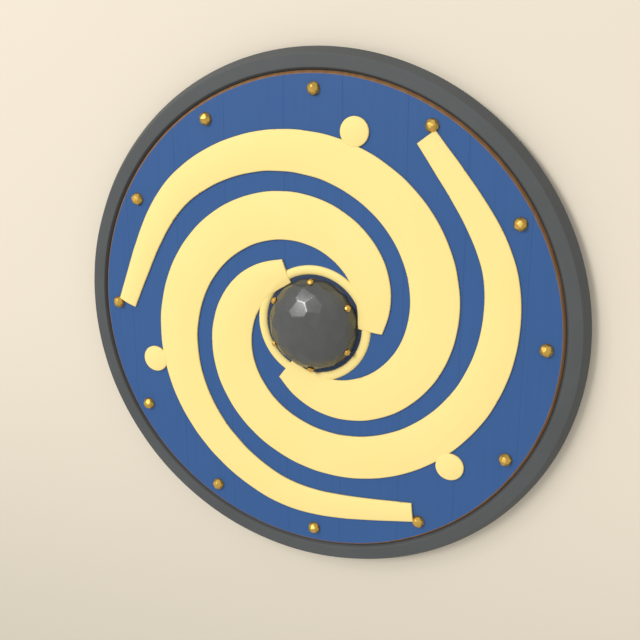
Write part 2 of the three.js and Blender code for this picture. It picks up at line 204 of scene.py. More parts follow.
def place_piece(piece, material, nodes):
    bpy.context.scene.collection.objects.link(piece)
    piece.data.materials.append(material)
    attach(piece, "root")
    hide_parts(*nodes)
    return piece


def lathe(profile, steps):
    """Turns a closed anticlockwise (radius, height) profile about Z. A profile that starts and
    ends on the axis gets a single point there. Returns points, faces and each point's place
    in the profile."""
    profile = np.asarray(profile, float)
    on_axis = profile[0, 0] < 1e-9 and profile[-1, 0] < 1e-9
    rings = profile[1:-1] if on_axis else profile
    count = len(rings)
    angles = np.arange(steps) * 2 * math.pi / steps
    radius, height = rings[:, 0], rings[:, 1]
    x = np.cos(angles)[:, None] * radius
    y = np.sin(angles)[:, None] * radius
    z = np.broadcast_to(height, x.shape)
    points = np.stack([x, y, z], -1).reshape(-1, 3)
    place = np.tile(np.arange(count), steps)
    faces = []
    bands = count - 1 if on_axis else count
    for i in range(steps):
        here, there = i * count, (i + 1) % steps * count
        for j in range(bands):
            k = (j + 1) % count
            faces.append((here + j, there + j, there + k, here + k))
    if on_axis:
        low, high = len(points), len(points) + 1
        points = np.vstack([points, [0, 0, profile[0, 1]], [0, 0, profile[-1, 1]]])
        place = np.append(place, [0, count - 1])
        for i in range(steps):
            here, there = i * count, (i + 1) % steps * count
            faces.append((low, there, here))
            faces.append((high, here + count - 1, there + count - 1))
    return points, faces, place


def rounded(corners, radius, steps=5, closed=False):
    """Replaces the corners of a path by arcs, each no longer than its neighbours allow."""
    corners = [np.asarray(c, float) for c in corners]
    path = []
    for i, corner in enumerate(corners):
        if not closed and i in (0, len(corners) - 1):
            path.append(corner)
            continue
        before = corners[i - 1] - corner
        after = corners[(i + 1) % len(corners)] - corner
        reach_before, reach_after = np.linalg.norm(before), np.linalg.norm(after)
        before, after = before / reach_before, after / reach_after
        half = math.acos(np.clip(before @ after, -1, 1)) / 2
        if half > math.radians(89):
            path.append(corner)
            continue
        setback = min(radius / math.tan(half), 0.45 * reach_before, 0.45 * reach_after)
        start, end = corner + before * setback, corner + after * setback
        for t in np.linspace(0, 1, steps):
            path.append((1 - t) ** 2 * start + 2 * t * (1 - t) * corner + t ** 2 * end)
    return np.array(path)


def sheet_profile(path, thickness):
    """A bent sheet: the path and its offset to the right, joined to a closed profile."""
    along = np.gradient(path, axis=0)
    along /= np.linalg.norm(along, axis=1)[:, None]
    right = np.stack([along[:, 1], -along[:, 0]], 1)
    return np.vstack([path + right * thickness, path[::-1]])


def flattened(unit, directions, half_angle, softness):
    """How far in each point of a unit sphere comes where a hammer has left flat facets."""
    nearest = (unit @ directions.T).max(1)
    flat = np.minimum(1, math.cos(half_angle) / np.maximum(nearest, 1e-6))
    return 1 - softness * (1 - flat)


def spread_directions(count, seed, wobble):
    """Directions spread evenly over a half sphere, with a little wobble."""
    rng = np.random.default_rng(seed)
    i = np.arange(count)
    height = 1 - (i + 0.3) / count
    turn = i * math.pi * (3 - math.sqrt(5))
    level = np.sqrt(1 - height ** 2)
    directions = np.stack([level * np.cos(turn), level * np.sin(turn), height], 1)
    directions += rng.normal(scale=wobble, size=directions.shape)
    return directions / np.linalg.norm(directions, axis=1)[:, None]


# ---------------------------------------------------------------- materials

class Surface:
    """A principled material, whose nodes are added by short calls."""

    def __init__(self, name):
        self.material = bpy.data.materials.new(name)
        self.material.use_nodes = True
        self.tree = self.material.node_tree
        self.shader = self.tree.nodes["Principled BSDF"]

    def add(self, kind, *inputs, out=0, **settings):
        """Adds a node. Each input is a value or a socket, None leaves it; names are settings."""
        node = self.tree.nodes.new(kind)
        for key, value in settings.items():
            if key in node.bl_rna.properties:
                setattr(node, key, value)
            else:
                self.feed(node.inputs[key.replace("_", " ")], value)
        for socket, value in zip(node.inputs, inputs):
            self.feed(socket, value)
        return node.outputs[out]

    def feed(self, socket, value):
        if value is None:
            return
        if isinstance(value, bpy.types.NodeSocket):
            self.tree.links.new(value, socket)
        elif isinstance(value, tuple) and len(value) == 3 and socket.type == "RGBA":
            socket.default_value = (*value, 1)
        else:
            socket.default_value = value

    def set(self, **inputs):
        for key, value in inputs.items():
            self.feed(self.shader.inputs[key.replace("_", " ")], value)

    def position(self, scale=(1, 1, 1), shift=None):
        """The object's own coordinates, stretched, and moved by a socket or a vector."""
        place = self.add("ShaderNodeTexCoord", out=3)
        scaled = self.add("ShaderNodeVectorMath", place, tuple(scale), operation="MULTIPLY")
        if shift is None:
            return scaled
        return self.add("ShaderNodeVectorMath", scaled, shift, operation="ADD")

    def noise(self, where, scale, detail=3.0, roughness=0.5, distortion=0.0):
        return self.add("ShaderNodeTexNoise", Vector=where, Scale=scale, Detail=detail,
                        Roughness=roughness, Distortion=distortion)

    def ramp(self, value, low, high):
        """0 below low, 1 above high, smooth between."""
        return self.add("ShaderNodeMapRange", value, low, high, 0.0, 1.0,
                        interpolation_type="SMOOTHSTEP")

    def remap(self, value, low, high, to_low, to_high):
        return self.add("ShaderNodeMapRange", value, low, high, to_low, to_high)

    def math(self, operation, a, b):
        return self.add("ShaderNodeMath", a, b, operation=operation)

    def part(self, share, of):
        return self.math("MULTIPLY", of, share)

    def blend(self, share, a, b):
        """A mix of two plain values."""
        return self.add("ShaderNodeMix", share, None, a, b)

    def mix(self, share, a, b):
        """A mix of two colours."""
        node = self.tree.nodes.new("ShaderNodeMix")
        node.data_type = "RGBA"
        for index, value in ((0, share), (6, a), (7, b)):
            self.feed(node.inputs[index], value)
        return node.outputs[2]

    def attribute(self, name):
        return self.add("ShaderNodeAttribute", attribute_name=name, out=2)

    def bump(self, height, distance, strength):
        return self.add("ShaderNodeBump", Height=height, Distance=distance, Strength=strength)


def wood_layer(s, plank, light, dark, stretch=(1, 0.055, 1)):
    """Grain along one axis, different on every plank: returns colour and height."""
    shift = s.add("ShaderNodeCombineXYZ", s.part(3.7, plank), s.part(9.1, plank),
                  s.part(5.3, plank))
    along = s.position(stretch, shift)
    growth = s.noise(along, 22.0, 3.0, 0.45, 0.6)
    bands = s.add("ShaderNodeTexWave", Vector=along, Scale=16.0, Distortion=9.0,
                  Detail=2.0, Detail_Scale=0.9, out=1)
    fibre = s.noise(s.position(tuple(400 * k for k in stretch), shift), 1.0, 4.0, 0.6)
    tone = s.math("ADD", s.part(0.55, growth), s.part(0.45, bands))
    colour = s.mix(s.ramp(tone, 0.25, 0.85), dark, light)
    colour = s.mix(s.part(0.35, s.ramp(fibre, 0.55, 0.75)), colour, dark)
    tint = s.remap(plank, 0.0, 1.0, 0.82, 1.14)
    colour = s.add("ShaderNodeHueSaturation", Color=colour, Value=tint)
    height = s.math("ADD", s.part(0.6, tone), s.part(0.4, fibre))
    return colour, height


def paint_layer(s, strokes, colour, deep, pale):
    """Hand-brushed paint: colour with soft blotches and streaks, roughness and height."""
    where = s.position()
    blotch = s.noise(where, 7.0, 4.0, 0.55)
    streak = s.noise(strokes, 1.0, 4.0, 0.6)
    colour = s.mix(s.part(0.30, s.ramp(blotch, 0.35, 0.7)), colour, pale)
    colour = s.mix(s.part(0.22, s.ramp(streak, 0.40, 0.75)), colour, deep)
    roughness = s.remap(s.noise(where, 24.0, 3.0), 0.3, 0.7, 0.46, 0.60)
    return colour, roughness, streak


def board_material():
    """Blue paint on the face, worn off at its edge and darkened with painted shade beside the
    boss; bare oiled planks elsewhere."""
    s = Surface("painted_planks")
    wood, grain = wood_layer(s, s.attribute("plank"), BARE_WOOD, BARE_WOOD_DARK)
    brushed = s.position((190, 7, 190))
    paint, roughness, streak = paint_layer(s, brushed, BLUE, BLUE_DEEP, BLUE_PALE)
    scuff = s.noise(s.position((30, 14, 30)), 1.0, 6.0, 0.7)
    paint = s.mix(s.part(0.35, s.ramp(scuff, 0.66, 0.78)), paint, BLUE_SCUFFED)
    radius = s.add("ShaderNodeVectorMath", s.position((1, 1, 0)), operation="LENGTH", out=1)
    # painted shade: the blue darkens towards the boss, between it and the ring
    shade_beside_boss = s.ramp(radius, RING_INNER + 4 * MM, RING_INNER - 2 * MM)
    paint = s.mix(s.part(0.85, shade_beside_boss), paint, BLUE_PAINTED_SHADE)
    groove = s.attribute("groove")
    paint = s.mix(s.part(0.45, groove), paint, BLUE_IN_JOINTS)
    wood = s.mix(s.part(0.8, groove), wood, WOOD_IN_JOINTS)
    wood = s.mix(s.part(0.8, s.attribute("bevel")), wood, EDGE_WOOD)
    speckle = s.noise(s.position((90, 45, 90)), 1.0, 5.0, 0.65)
    worn = s.math("ADD", s.attribute("bare"), s.remap(speckle, 0.35, 0.65, -0.2, 0.2))
    worn = s.ramp(worn, 0.44, 0.56)
    painted = s.math("ADD", s.part(0.5, streak), s.part(0.5, grain))
    s.set(Base_Color=s.mix(worn, paint, wood), Specular_IOR_Level=0.3,
          Roughness=s.blend(worn, roughness, 0.66),
          Normal=s.bump(s.blend(worn, painted, grain), 0.00035, 0.55))
    return s.material


def yellow_material():
    """Pale yellow paint, darkened and warmed with painted shade along the edges and low sides,
    with a few chips along the edges.
    """
    s = Surface("yellow_paint")
    strokes = s.add("ShaderNodeCombineXYZ", s.part(260.0, s.attribute("across")),
                    s.part(9.0, s.attribute("along")), 0.0)
    paint, roughness, streak = paint_layer(s, strokes, YELLOW, YELLOW_DEEP, YELLOW_PALE)
    edge = s.attribute("edge")
    patchy = s.noise(s.position(), 60.0, 4.0, 0.6)
    # painted shade along the edges and sides, made patchy
    edge_shade = s.math("ADD", edge, s.remap(patchy, 0.35, 0.65, -0.3, 0.3))
    paint = s.mix(s.part(0.5, s.ramp(edge_shade, 0.25, 1.0)), paint, YELLOW_EDGE_SHADE)
    flakes = s.noise(s.position(), 140.0, 4.0, 0.6)
    chip = s.math("MULTIPLY", s.ramp(edge, 0.55, 0.95), s.ramp(flakes, 0.63, 0.68))
    paint = s.mix(s.part(0.8, chip), paint, YELLOW_CHIPPED)
    s.set(Base_Color=paint, Roughness=roughness, Specular_IOR_Level=0.3,
          Normal=s.bump(streak, 0.0003, 0.5))
    return s.material


def iron_material(name, colour, smooth, rough, scale, metallic):
    """Dark iron with cloudy scale, fine scratches and bright wear on its ridges."""
    s = Surface(name)
    where = s.position()
    cloud = s.noise(where, scale, 5.0, 0.6)
    fine = s.noise(where, scale * 14, 4.0, 0.65)
    dark = tuple(0.93 * c for c in colour)
    light = tuple(1.06 * c for c in colour)
    tone = s.mix(s.ramp(cloud, 0.35, 0.68), dark, light)
    rusty = s.noise(where, scale * 2.3, 6.0, 0.7)
    tone = s.mix(s.part(0.22, s.ramp(rusty, 0.64, 0.76)), tone, RUST)
    rubbed = s.math("ADD", s.attribute("wear"), s.remap(fine, 0.3, 0.7, -0.2, 0.2))
    rubbed = s.part(0.16, s.ramp(rubbed, 0.3, 1.2))
    tone = s.mix(rubbed, tone, WORN_IRON)
    roughness = s.remap(s.math("SUBTRACT", cloud, s.part(0.35, rubbed)), 0.2, 0.7, smooth, rough)
    s.set(Base_Color=tone, Roughness=roughness, Metallic=metallic,
          Normal=s.bump(s.math("ADD", s.part(0.5, fine), cloud), 0.0002, 0.4))
    return s.material


def brass_material():
    """Old brass: bright where it is rubbed, brown round the foot of each head."""
    s = Surface("brass")
    where = s.position()
    cloud = s.noise(where, 55.0, 4.0, 0.6)
    fine = s.noise(where, 420.0, 3.0, 0.6)
    tarnish = s.math("ADD", s.attribute("foot"), s.remap(cloud, 0.35, 0.65, -0.25, 0.25))
    tone = s.mix(s.ramp(tarnish, 0.35, 0.95), BRASS, BRASS_DARK)
    tone = s.mix(s.part(0.35, s.ramp(cloud, 0.5, 0.75)), tone, BRASS_BRIGHT)
    s.set(Base_Color=tone, Roughness=s.remap(cloud, 0.3, 0.7, 0.34, 0.48), Metallic=0.8,
          Normal=s.bump(fine, 0.00015, 0.5))
    return s.material


def grip_material():
    """Oiled ash, darker and smoother where the hand holds it."""
    s = Surface("oiled_ash")
    wood, grain = wood_layer(s, 0.35, ASH_WOOD, ASH_WOOD_DARK, (0.06, 1, 1))
    held = s.attribute("held")
    wood = s.mix(s.part(0.55, held), wood, ASH_WOOD_HELD)
    s.set(Base_Color=wood, Roughness=s.blend(held, 0.62, 0.40),
          Normal=s.bump(grain, 0.0003, 0.5))
    return s.material


# ---------------------------------------------------------------- pieces

def beside_rim(height):
    """Radius at which the board's edge lies against the inner slope of the rim."""
    above_middle = height - RIM_HIGH.z / 2
    return (RIM_MIDDLE_R - RIM_TUBE_R + above_middle / math.tan(RIM_SLOPE)
            - GLUE / math.sin(RIM_SLOPE))


def make_board(material):
    """The round of planks, turned whole, then scored along each joint."""
    lip_foot_r, lip_top_z = BOSS_HIGH.x - BOSS_WALL - 2 * GLUE, BOARD_HIGH.z
    lip_top_r = lip_foot_r * math.sqrt(1 - ((lip_top_z - FACE_Z) / (BOSS_HIGH.z - FACE_Z)) ** 2)
    bevel_z = FACE_Z - BOARD_BEVEL
    profile = rounded([
        (HAND_HOLE_R, BACK_Z), (beside_rim(BACK_Z), BACK_Z), (beside_rim(bevel_z), bevel_z),
        (BOARD_R, FACE_Z), (BOARD_R - 1 * MM, FACE_Z), (lip_foot_r + 3 * MM, FACE_Z),
        (lip_foot_r, FACE_Z), (lip_top_r - 0.5 * MM, lip_top_z), (HAND_HOLE_R, lip_top_z),
    ], BOARD_SOFTNESS, closed=True)
    points, faces, _ = lathe(profile, 360)
    radius = np.hypot(points[:, 0], points[:, 1])
    outer = smoothstep(BOARD_R - 1 * MM, BOARD_R, radius)
    knocks = np.clip(ripples(points[:, :2], 30 * MM, 5), 0, 1) * outer
    points[:, 2] -= 0.25 * MM * knocks * smoothstep(bevel_z - 2 * MM, bevel_z, points[:, 2])

    mesh = bpy.data.meshes.new("painted_board")
    mesh.from_pydata([tuple(p) for p in points], [], faces)
    form = bmesh.new()
    form.from_mesh(mesh)
    for joint in PLANK_JOINTS:
        for shift in (-JOINT_BACK, -JOINT_FRONT, 0, JOINT_FRONT, JOINT_BACK):
            everything = list(form.verts) + list(form.edges) + list(form.faces)
            bmesh.ops.bisect_plane(form, geom=everything, dist=1e-7,
                                   plane_co=(joint + shift, 0, 0), plane_no=(1, 0, 0))
    plank = form.verts.layers.float.new("plank")
    bare = form.verts.layers.float.new("bare")
    bevel = form.verts.layers.float.new("bevel")
    groove = form.verts.layers.float.new("groove")
    rng = np.random.default_rng(3)
    tones = rng.uniform(0, 1, len(PLANK_JOINTS) + 1)
    for v in form.verts:
        radius = math.hypot(v.co.x, v.co.y)
        nearest = min(abs(v.co.x - joint) for joint in PLANK_JOINTS)
        is_back = v.co.z < BACK_Z + 0.5 * MM
        is_face = v.co.z > FACE_Z - 0.6 * MM and radius > lip_foot_r + 2 * MM
        v[plank] = tones[sum(v.co.x > joint for joint in PLANK_JOINTS)]
        v[bevel] = float(radius > BOARD_R - 1 * MM)
        v[bare] = 1.0
        if is_face:
            v[bare] = float(smoothstep(BOARD_R - 1.1 * MM, BOARD_R - 0.1 * MM, radius))
        if nearest < 1e-6 and (is_back or is_face):
            v.co.z += 0.75 * MM if is_back else -0.22 * MM
            v[groove] = 1.0
    for f in form.faces:
        f.smooth = abs(f.normal.z) < 0.999
    form.to_mesh(mesh)
    form.free()
    return place_piece(bpy.data.objects.new("painted_board", mesh), material, ["board"])


def make_rim(material):
    """Sheet iron folded round a hexagon, its flange lapping behind the board."""
    middle_z = RIM_HIGH.z / 2

    def corner(sixth):
        angle = math.radians(60 * sixth)
        return (RIM_MIDDLE_R + RIM_TUBE_R * math.cos(angle),
                middle_z + RIM_TUBE_R * math.sin(angle))

    flange_z = BACK_Z - GLUE
    slope_r = corner(3)[0] + (flange_z - middle_z) / math.tan(RIM_SLOPE)
    path = rounded([
        (RIM_FLANGE_R, flange_z), (slope_r, flange_z),
        *[corner(k) for k in (2, 1, 0, -1, -2)],
        corner(3), (corner(3)[0], flange_z - RIM_SHEET - RIM_SEAM),
    ], RIM_FOLD_R, steps=6)
    dense = []
    for a, b in zip(path[:-1], path[1:]):
        parts = max(1, int(np.linalg.norm(b - a) / (3.5 * MM)))
        dense += [a + (b - a) * t / parts for t in range(parts)]
    dense.append(path[-1])
    points, faces, _ = lathe(sheet_profile(np.array(dense), RIM_SHEET), 300)

    radius = np.hypot(points[:, 0], points[:, 1])
    turn = np.arctan2(points[:, 1], points[:, 0])
    round_it = np.stack([np.cos(turn), np.sin(turn), points[:, 2] * 8], 1)
    free = smoothstep(RIM_MIDDLE_R - 12 * MM, RIM_MIDDLE_R, radius)
    sway = ripples(round_it, 0.5, 11) * 0.5 + 0.5
    points[:, :2] *= (1 - free * np.clip(sway, 0, 1) * 0.35 * MM / radius)[:, None]
    above = smoothstep(middle_z - 6 * MM, RIM_HIGH.z, points[:, 2])
    points[:, 2] -= above * np.clip(ripples(points, 60 * MM, 12), 0, 1) * 0.3 * MM

    folds = [corner(k) for k in (2, 1, 0)]
    away = np.min([np.hypot(radius - r, points[:, 2] - z) for r, z in folds], axis=0)
    wear = 0.35 * (1 - smoothstep(0.5 * MM, 3.5 * MM, away))
    return make_piece("folded_rim", points, faces, material, ["rim"], {"wear": wear})


def make_boss(material):
    """A hollow iron dome, with the flat marks of the planishing hammer all over it."""
    a, b = BOSS_HIGH.x, BOSS_HIGH.z - FACE_Z
    angles = np.linspace(0, math.pi / 2, 90)
    outer = np.stack([a * np.cos(angles), b * np.sin(angles)], 1)
    inner_a, inner_b = a - BOSS_WALL, b - BOSS_WALL
    inner = np.stack([inner_a * np.cos(angles[::-2]), inner_b * np.sin(angles[::-2])], 1)
    inner[0, 0] = outer[-1, 0] = 0
    points, faces, place = lathe(np.vstack([inner, outer]), 220)

    is_outer = place >= len(inner) - 1
    unit = points / np.array([a, a, b])
    marks = spread_directions(BOSS_MARKS, 21, 0.03)
    scale = np.where(is_outer, flattened(unit, marks, BOSS_MARK_REACH, 0.85), 1)
    nearest = (unit @ marks.T).max(1)
    points *= scale[:, None]
    points[:, 2] += FACE_Z
    foot = np.abs(points[:, 2] - FACE_Z) < 1e-6
    points[foot & is_outer, 2] -= 0.1 * MM
    ridge = 1 - smoothstep(math.cos(BOSS_MARK_REACH), math.cos(0.8 * BOSS_MARK_REACH), nearest)
    top = smoothstep(0.55, 1.0, (points[:, 2] - FACE_Z) / b)
    wear = np.where(is_outer, ridge * 0.2 + top * 0.4, 0)
    return make_piece("beaten_boss", points, faces, material, ["boss"], {"wear": wear})


def make_ring(material):
    """The half-round moulding round the boss."""
    inner, outer = RING_INNER, RING_HIGH.x
    middle, half = (inner + outer) / 2, (outer - inner) / 2
    angles = np.linspace(0, math.pi, 20)
    arch = np.stack([middle + half * np.cos(angles), FACE_Z + RING_H * np.sin(angles)], 1)
    profile = np.vstack([[middle - half, FACE_Z - GLUE], [middle + half, FACE_Z - GLUE], arch])
    points, faces, _ = lathe(profile, 240)
    points[:, 2] += 0.06 * MM * ripples(points, 14 * MM, 31)
    # the ring's low sides: the yellow paint darkens them with painted shade and chips them
    low = 1 - smoothstep(FACE_Z + 0.5 * MM, FACE_Z + RING_H * 0.75, points[:, 2])
    turn = np.arctan2(points[:, 1], points[:, 0])
    radius = np.hypot(points[:, 0], points[:, 1])
    attributes = {"edge": low, "along": turn * middle, "across": radius}
    return make_piece("boss_moulding", points, faces, material, ["boss_ring"],
                      attributes)


def arm_middle_line():
    """Points along the first arm's middle, with the length run at each."""
    def spiral(angle):
        radius = ARM_INNER_R + ARM_PITCH * np.hypot(angle, ARM_SOFTNESS)
        return np.stack([radius * np.cos(angle), radius * np.sin(angle)], -1)

    turns = spiral(np.linspace(ARM_START, ARM_TAIL, 400))
    start = turns[-1]
    leaving = spiral(np.array([ARM_TAIL + 1e-4]))[0] - spiral(np.array([ARM_TAIL - 1e-4]))[0]
    leaving /= np.linalg.norm(leaving)
    end = ARM_END_R * np.array([math.cos(ARM_END), math.sin(ARM_END)])
    heading = ARM_END + math.pi / 2 - ARM_END_TURN
    arriving = np.array([math.cos(heading), math.sin(heading)])
    reach = np.linalg.norm(end - start)
    first = start + ARM_TAIL_LEAVING * reach * leaving
    second = end - ARM_TAIL_ARRIVING * reach * arriving
    t = np.linspace(0, 1, 100)[1:, None]
    tail = ((1 - t) ** 3 * start + 3 * t * (1 - t) ** 2 * first
            + 3 * t ** 2 * (1 - t) * second + t ** 3 * end)
    line = np.vstack([turns, tail])
    run = np.concatenate([[0], np.cumsum(np.linalg.norm(np.diff(line, axis=0), axis=1))])
    return line, run


def arm_width(share):
    opening = np.clip((ARM_FULL_AT - share) / ARM_FULL_AT, 0, 1) ** ARM_OPENING
    closing = np.clip((share - ARM_FULL_AT) / (1 - ARM_FULL_AT), 0, 1) ** ARM_CLOSING
    return (ARM_WIDTH_FULL - (ARM_WIDTH_FULL - ARM_WIDTH_INNER) * opening
            - (ARM_WIDTH_FULL - ARM_WIDTH_OUTER) * closing)


def rounded_edge(distance, height, share):
    """Height of a planted piece: a low side, a soft corner, then a crown that rises with the
    share of the way to its middle."""
    corner = np.sqrt(np.clip(1 - np.clip(1 - distance / EDGE_SOFTNESS, 0, 1) ** 2, 0, 1))
    crown = 1 - (1 - np.clip(share, 0, 1)) ** 2
    return height * (0.46 + 0.16 * corner + 0.38 * crown)


def arm_grid():
    """The first arm seen from above: a grid of places, each one's distance along the arm and
    from its middle line, and half the arm's width at each station."""
    line, run = arm_middle_line()
    insets = np.array([0, 0.3, 0.8, 1.5, 2.5]) * MM
    stations = np.concatenate([insets, np.linspace(5 * MM, run[-1] - 5 * MM, 300),
                               run[-1] - insets[::-1]])
    middle = np.stack([np.interp(stations, run, line[:, k]) for k in (0, 1)], 1)
    along = np.gradient(line, run, axis=0)
    along = np.stack([np.interp(stations, run, along[:, k]) for k in (0, 1)], 1)
    along /= np.linalg.norm(along, axis=1)[:, None]
    across = np.stack([along[:, 1], -along[:, 0]], 1)
    skew = -ARM_START_TURN * (1 - smoothstep(0, ARM_TURNED, stations))
    across = np.stack([across[:, 0] * np.cos(skew) - across[:, 1] * np.sin(skew),
                       across[:, 0] * np.sin(skew) + across[:, 1] * np.cos(skew)], 1)
    angle = np.unwrap(np.arctan2(middle[:, 1], middle[:, 0]))
    half = arm_width((angle - ARM_START) / (ARM_END - ARM_START)) / 2
    inner = np.linspace(-1, 1, 17)[1:-1]
    offsets = np.array([
        np.concatenate([-h + insets, inner * (h - 4 * MM), (h - insets)[::-1]]) for h in half])
    return middle, across, stations, offsets, half


def skirted(top, rows, columns, foot_z):
    """Closes a grid of points into a solid: sides down to foot_z and a flat underside.
    Returns points, faces and the place in the grid of each point of the foot."""
    around = ([i * columns for i in range(rows)]
              + [(rows - 1) * columns + j for j in range(1, columns)]
              + [i * columns + columns - 1 for i in range(rows - 2, -1, -1)]
              + [j for j in range(columns - 2, 0, -1)])
    skirt = top[around].copy()
    skirt[:, 2] = foot_z
    faces = []
    for i in range(rows - 1):
        for j in range(columns - 1):
            a = i * columns + j
            faces.append((a, a + columns, a + columns + 1, a + 1))
    base, count = len(top), len(around)
    for k in range(count):
        n = (k + 1) % count
        faces.append((around[k], base + k, base + n, around[n]))
    under = {v: base + k for k, v in enumerate(around)}
    for i in range(1, rows - 2):
        row, after = i * columns, (i + 1) * columns
        faces.append((under[row], under[row + columns - 1],
                      under[after + columns - 1], under[after]))
    first = [under[j] for j in range(columns)]
    faces.append((*first, under[2 * columns - 1], under[columns]))
    last = [under[(rows - 1) * columns + j] for j in range(columns - 1, -1, -1)]
    faces.append((*last, under[(rows - 2) * columns], under[(rows - 1) * columns - 1]))
    return np.vstack([top, skirt]), faces, around


def make_arm(index, material):
    """One spiral arm: a low crowned strip with soft edges and square-cut ends."""
    middle, across, stations, offsets, half = arm_grid()
    rows, columns = offsets.shape
    flat = middle[:, None, :] + across[:, None, :] * offsets[:, :, None]
    cut_by_hand = 0.22 * MM * ripples(flat.reshape(-1, 2), 45 * MM, 40 + index)
    flat += across[:, None, :] * cut_by_hand.reshape(rows, columns)[:, :, None]
    from_side = half[:, None] - np.abs(offsets)
    from_end = np.minimum(stations, stations[-1] - stations)[:, None]
    distance = np.minimum(from_side, from_end)
    height = rounded_edge(distance, ARM_H, from_side / half[:, None])
    radius = np.linalg.norm(flat, axis=2)
    clear = BOSS_HIGH.x + GLUE
    flat *= (np.maximum(radius, clear) / radius)[:, :, None]
    ring_r = (RING_INNER + RING_HIGH.x) / 2
    over_ring = np.exp(-((radius - ring_r) / (4 * MM)) ** 2) * smoothstep(0, 3 * MM, distance)
    height += (ARM_H - height) * 0.6 * over_ring
    height += 0.05 * MM * ripples(flat.reshape(-1, 2), 9 * MM, 50 + index).reshape(rows, columns)

    turn = index * 2 * math.pi / ARM_COUNT
    spin = np.array([[math.cos(turn), math.sin(turn)], [-math.sin(turn), math.cos(turn)]])
    top = np.column_stack([flat.reshape(-1, 2) @ spin, FACE_Z + height.reshape(-1)])
    points, faces, around = skirted(top, rows, columns, FACE_Z - SKIRT)
    # edge: band along the top's rim and the whole sides, which the yellow paint darkens with
    # painted shade and chips
    edge = 1 - smoothstep(0.4 * MM, 3.2 * MM, distance.reshape(-1))
    along_value = np.repeat(stations, columns)
    across_value = offsets.reshape(-1)
    attributes = {
        "edge": np.concatenate([edge, np.ones(len(around))]),
        "along": np.concatenate([along_value, along_value[around]]),
        "across": np.concatenate([across_value, across_value[around]]),
    }
    return make_piece(f"painted_arm_{index + 1}", points, faces, material,
                      [f"spiral_arm_{index + 1}"], attributes)


def make_disc(index, material):
    """A round plaque let into the arm's edge."""
    low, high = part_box(f"disc_{index + 1}")
    centre, radius, height = (low + high) / 2, (high.x - low.x) / 2, high.z - FACE_Z
    distances = np.concatenate([np.linspace(0, 2.4 * MM, 9), np.linspace(4 * MM, radius, 8)])
    top = [(radius - d, rounded_edge(d, height, d / radius)) for d in distances]
    points, faces, _ = lathe([(0, -SKIRT), (radius, -SKIRT), *top], 96)
    points[:, 2] += 0.07 * MM * ripples(points + index, 9 * MM, 60 + index) * (points[:, 2] > 0)
    radii = np.hypot(points[:, 0], points[:, 1])
    # edge: band along the disc's rim and its side, darkened with painted shade and chipped by the
    # yellow paint
    edge = 1 - smoothstep(0.4 * MM, 3.2 * MM, radius - radii)
    edge[points[:, 2] < 0] = 1
    attributes = {"edge": edge, "along": points[:, 1], "across": points[:, 0]}
    points += np.array([centre.x, centre.y, FACE_Z])
    return make_piece(f"painted_disc_{index + 1}", points, faces, material,
                      [f"disc_{index + 1}"], attributes)


def make_stud(name, head_r, head_h, shank, material, node, matrix, seed):
    """A rivet or nail: a head with a few broad hammered flats on its shank."""
    angles = np.linspace(0, math.pi / 2, 24)
    dome = np.stack([head_r * np.cos(angles), head_h * np.sin(angles)], 1)
    dome[-1, 0] = 0
    points, faces, _ = lathe(np.vstack([shank, dome]), 64)
    in_head = points[:, 2] > 1e-6
    unit = points / np.array([head_r, head_r, head_h])
    marks = spread_directions(STUD_MARKS, seed, 0.08)
    scale = np.where(in_head, flattened(unit, marks, STUD_MARK_REACH, 0.9), 1)
    points *= scale[:, None]
    foot = 1 - smoothstep(0.0, 0.4 * head_h, points[:, 2])
    points = points @ np.array(matrix.to_3x3()).T + np.array(matrix.translation)
    return make_piece(name, points, faces, material, [node], {"foot": foot})


def make_rim_rivets(material):
    """Rivets with a domed head in front and a closed-over tail behind the flange."""
    for i in range(RIM_RIVET_COUNT):
        node = f"rim_rivet_{i + 1}"
        low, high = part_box(node)
        angle = 2 * math.pi * i / RIM_RIVET_COUNT
        head_r = (high.y - low.y) / 2
        head_h = high.z - FACE_Z
        tail_low = low.z - FACE_Z
        shank = [(r * MM, tail_low + z * MM) for r, z in RIVET_BURR]
        shank += [(RIVET_SHANK_R, -0.2 * MM), (0.97 * head_r, -0.2 * MM)]
        place = Matrix.Translation((RIM_RIVET_CIRCLE_R * math.cos(angle),
                                    RIM_RIVET_CIRCLE_R * math.sin(angle), FACE_Z))
        spin = Matrix.Rotation(1.3 * i, 4, "Z")
        make_stud(f"domed_rivet_{i + 1}", head_r, head_h, shank, material, node,
                  place @ spin, 70 + i)


def make_boss_nails(material):
    """Nails square to the dome, through its foot into the board's lip."""
    a, b = BOSS_HIGH.x, BOSS_HIGH.z - FACE_Z
    height = b * math.sqrt(1 - (BOSS_NAIL_R / a) ** 2)
    tilt = math.atan2(height / b ** 2, BOSS_NAIL_R / a ** 2)
    shank = [(0, -NAIL_LENGTH), (NAIL_SHANK_R, NAIL_TAPER - NAIL_LENGTH),
             (NAIL_SHANK_R, -1.2 * MM), (0.9 * NAIL_HEAD_R, -0.9 * MM)]
    for i, degrees in enumerate(BOSS_NAIL_ANGLES):
        turn = Matrix.Rotation(math.radians(degrees), 4, "Z")
        lean = Matrix.Rotation(math.pi / 2 - tilt, 4, "Y")
        place = Matrix.Translation((BOSS_NAIL_R, 0, FACE_Z + height))
        matrix = turn @ place @ lean @ Matrix.Rotation(0.9 * i, 4, "Z")
        make_stud(f"domed_nail_{i + 1}", NAIL_HEAD_R, NAIL_HEAD_H, shank, material,
                  f"boss_nail_{i + 1}", matrix, 90 + i)


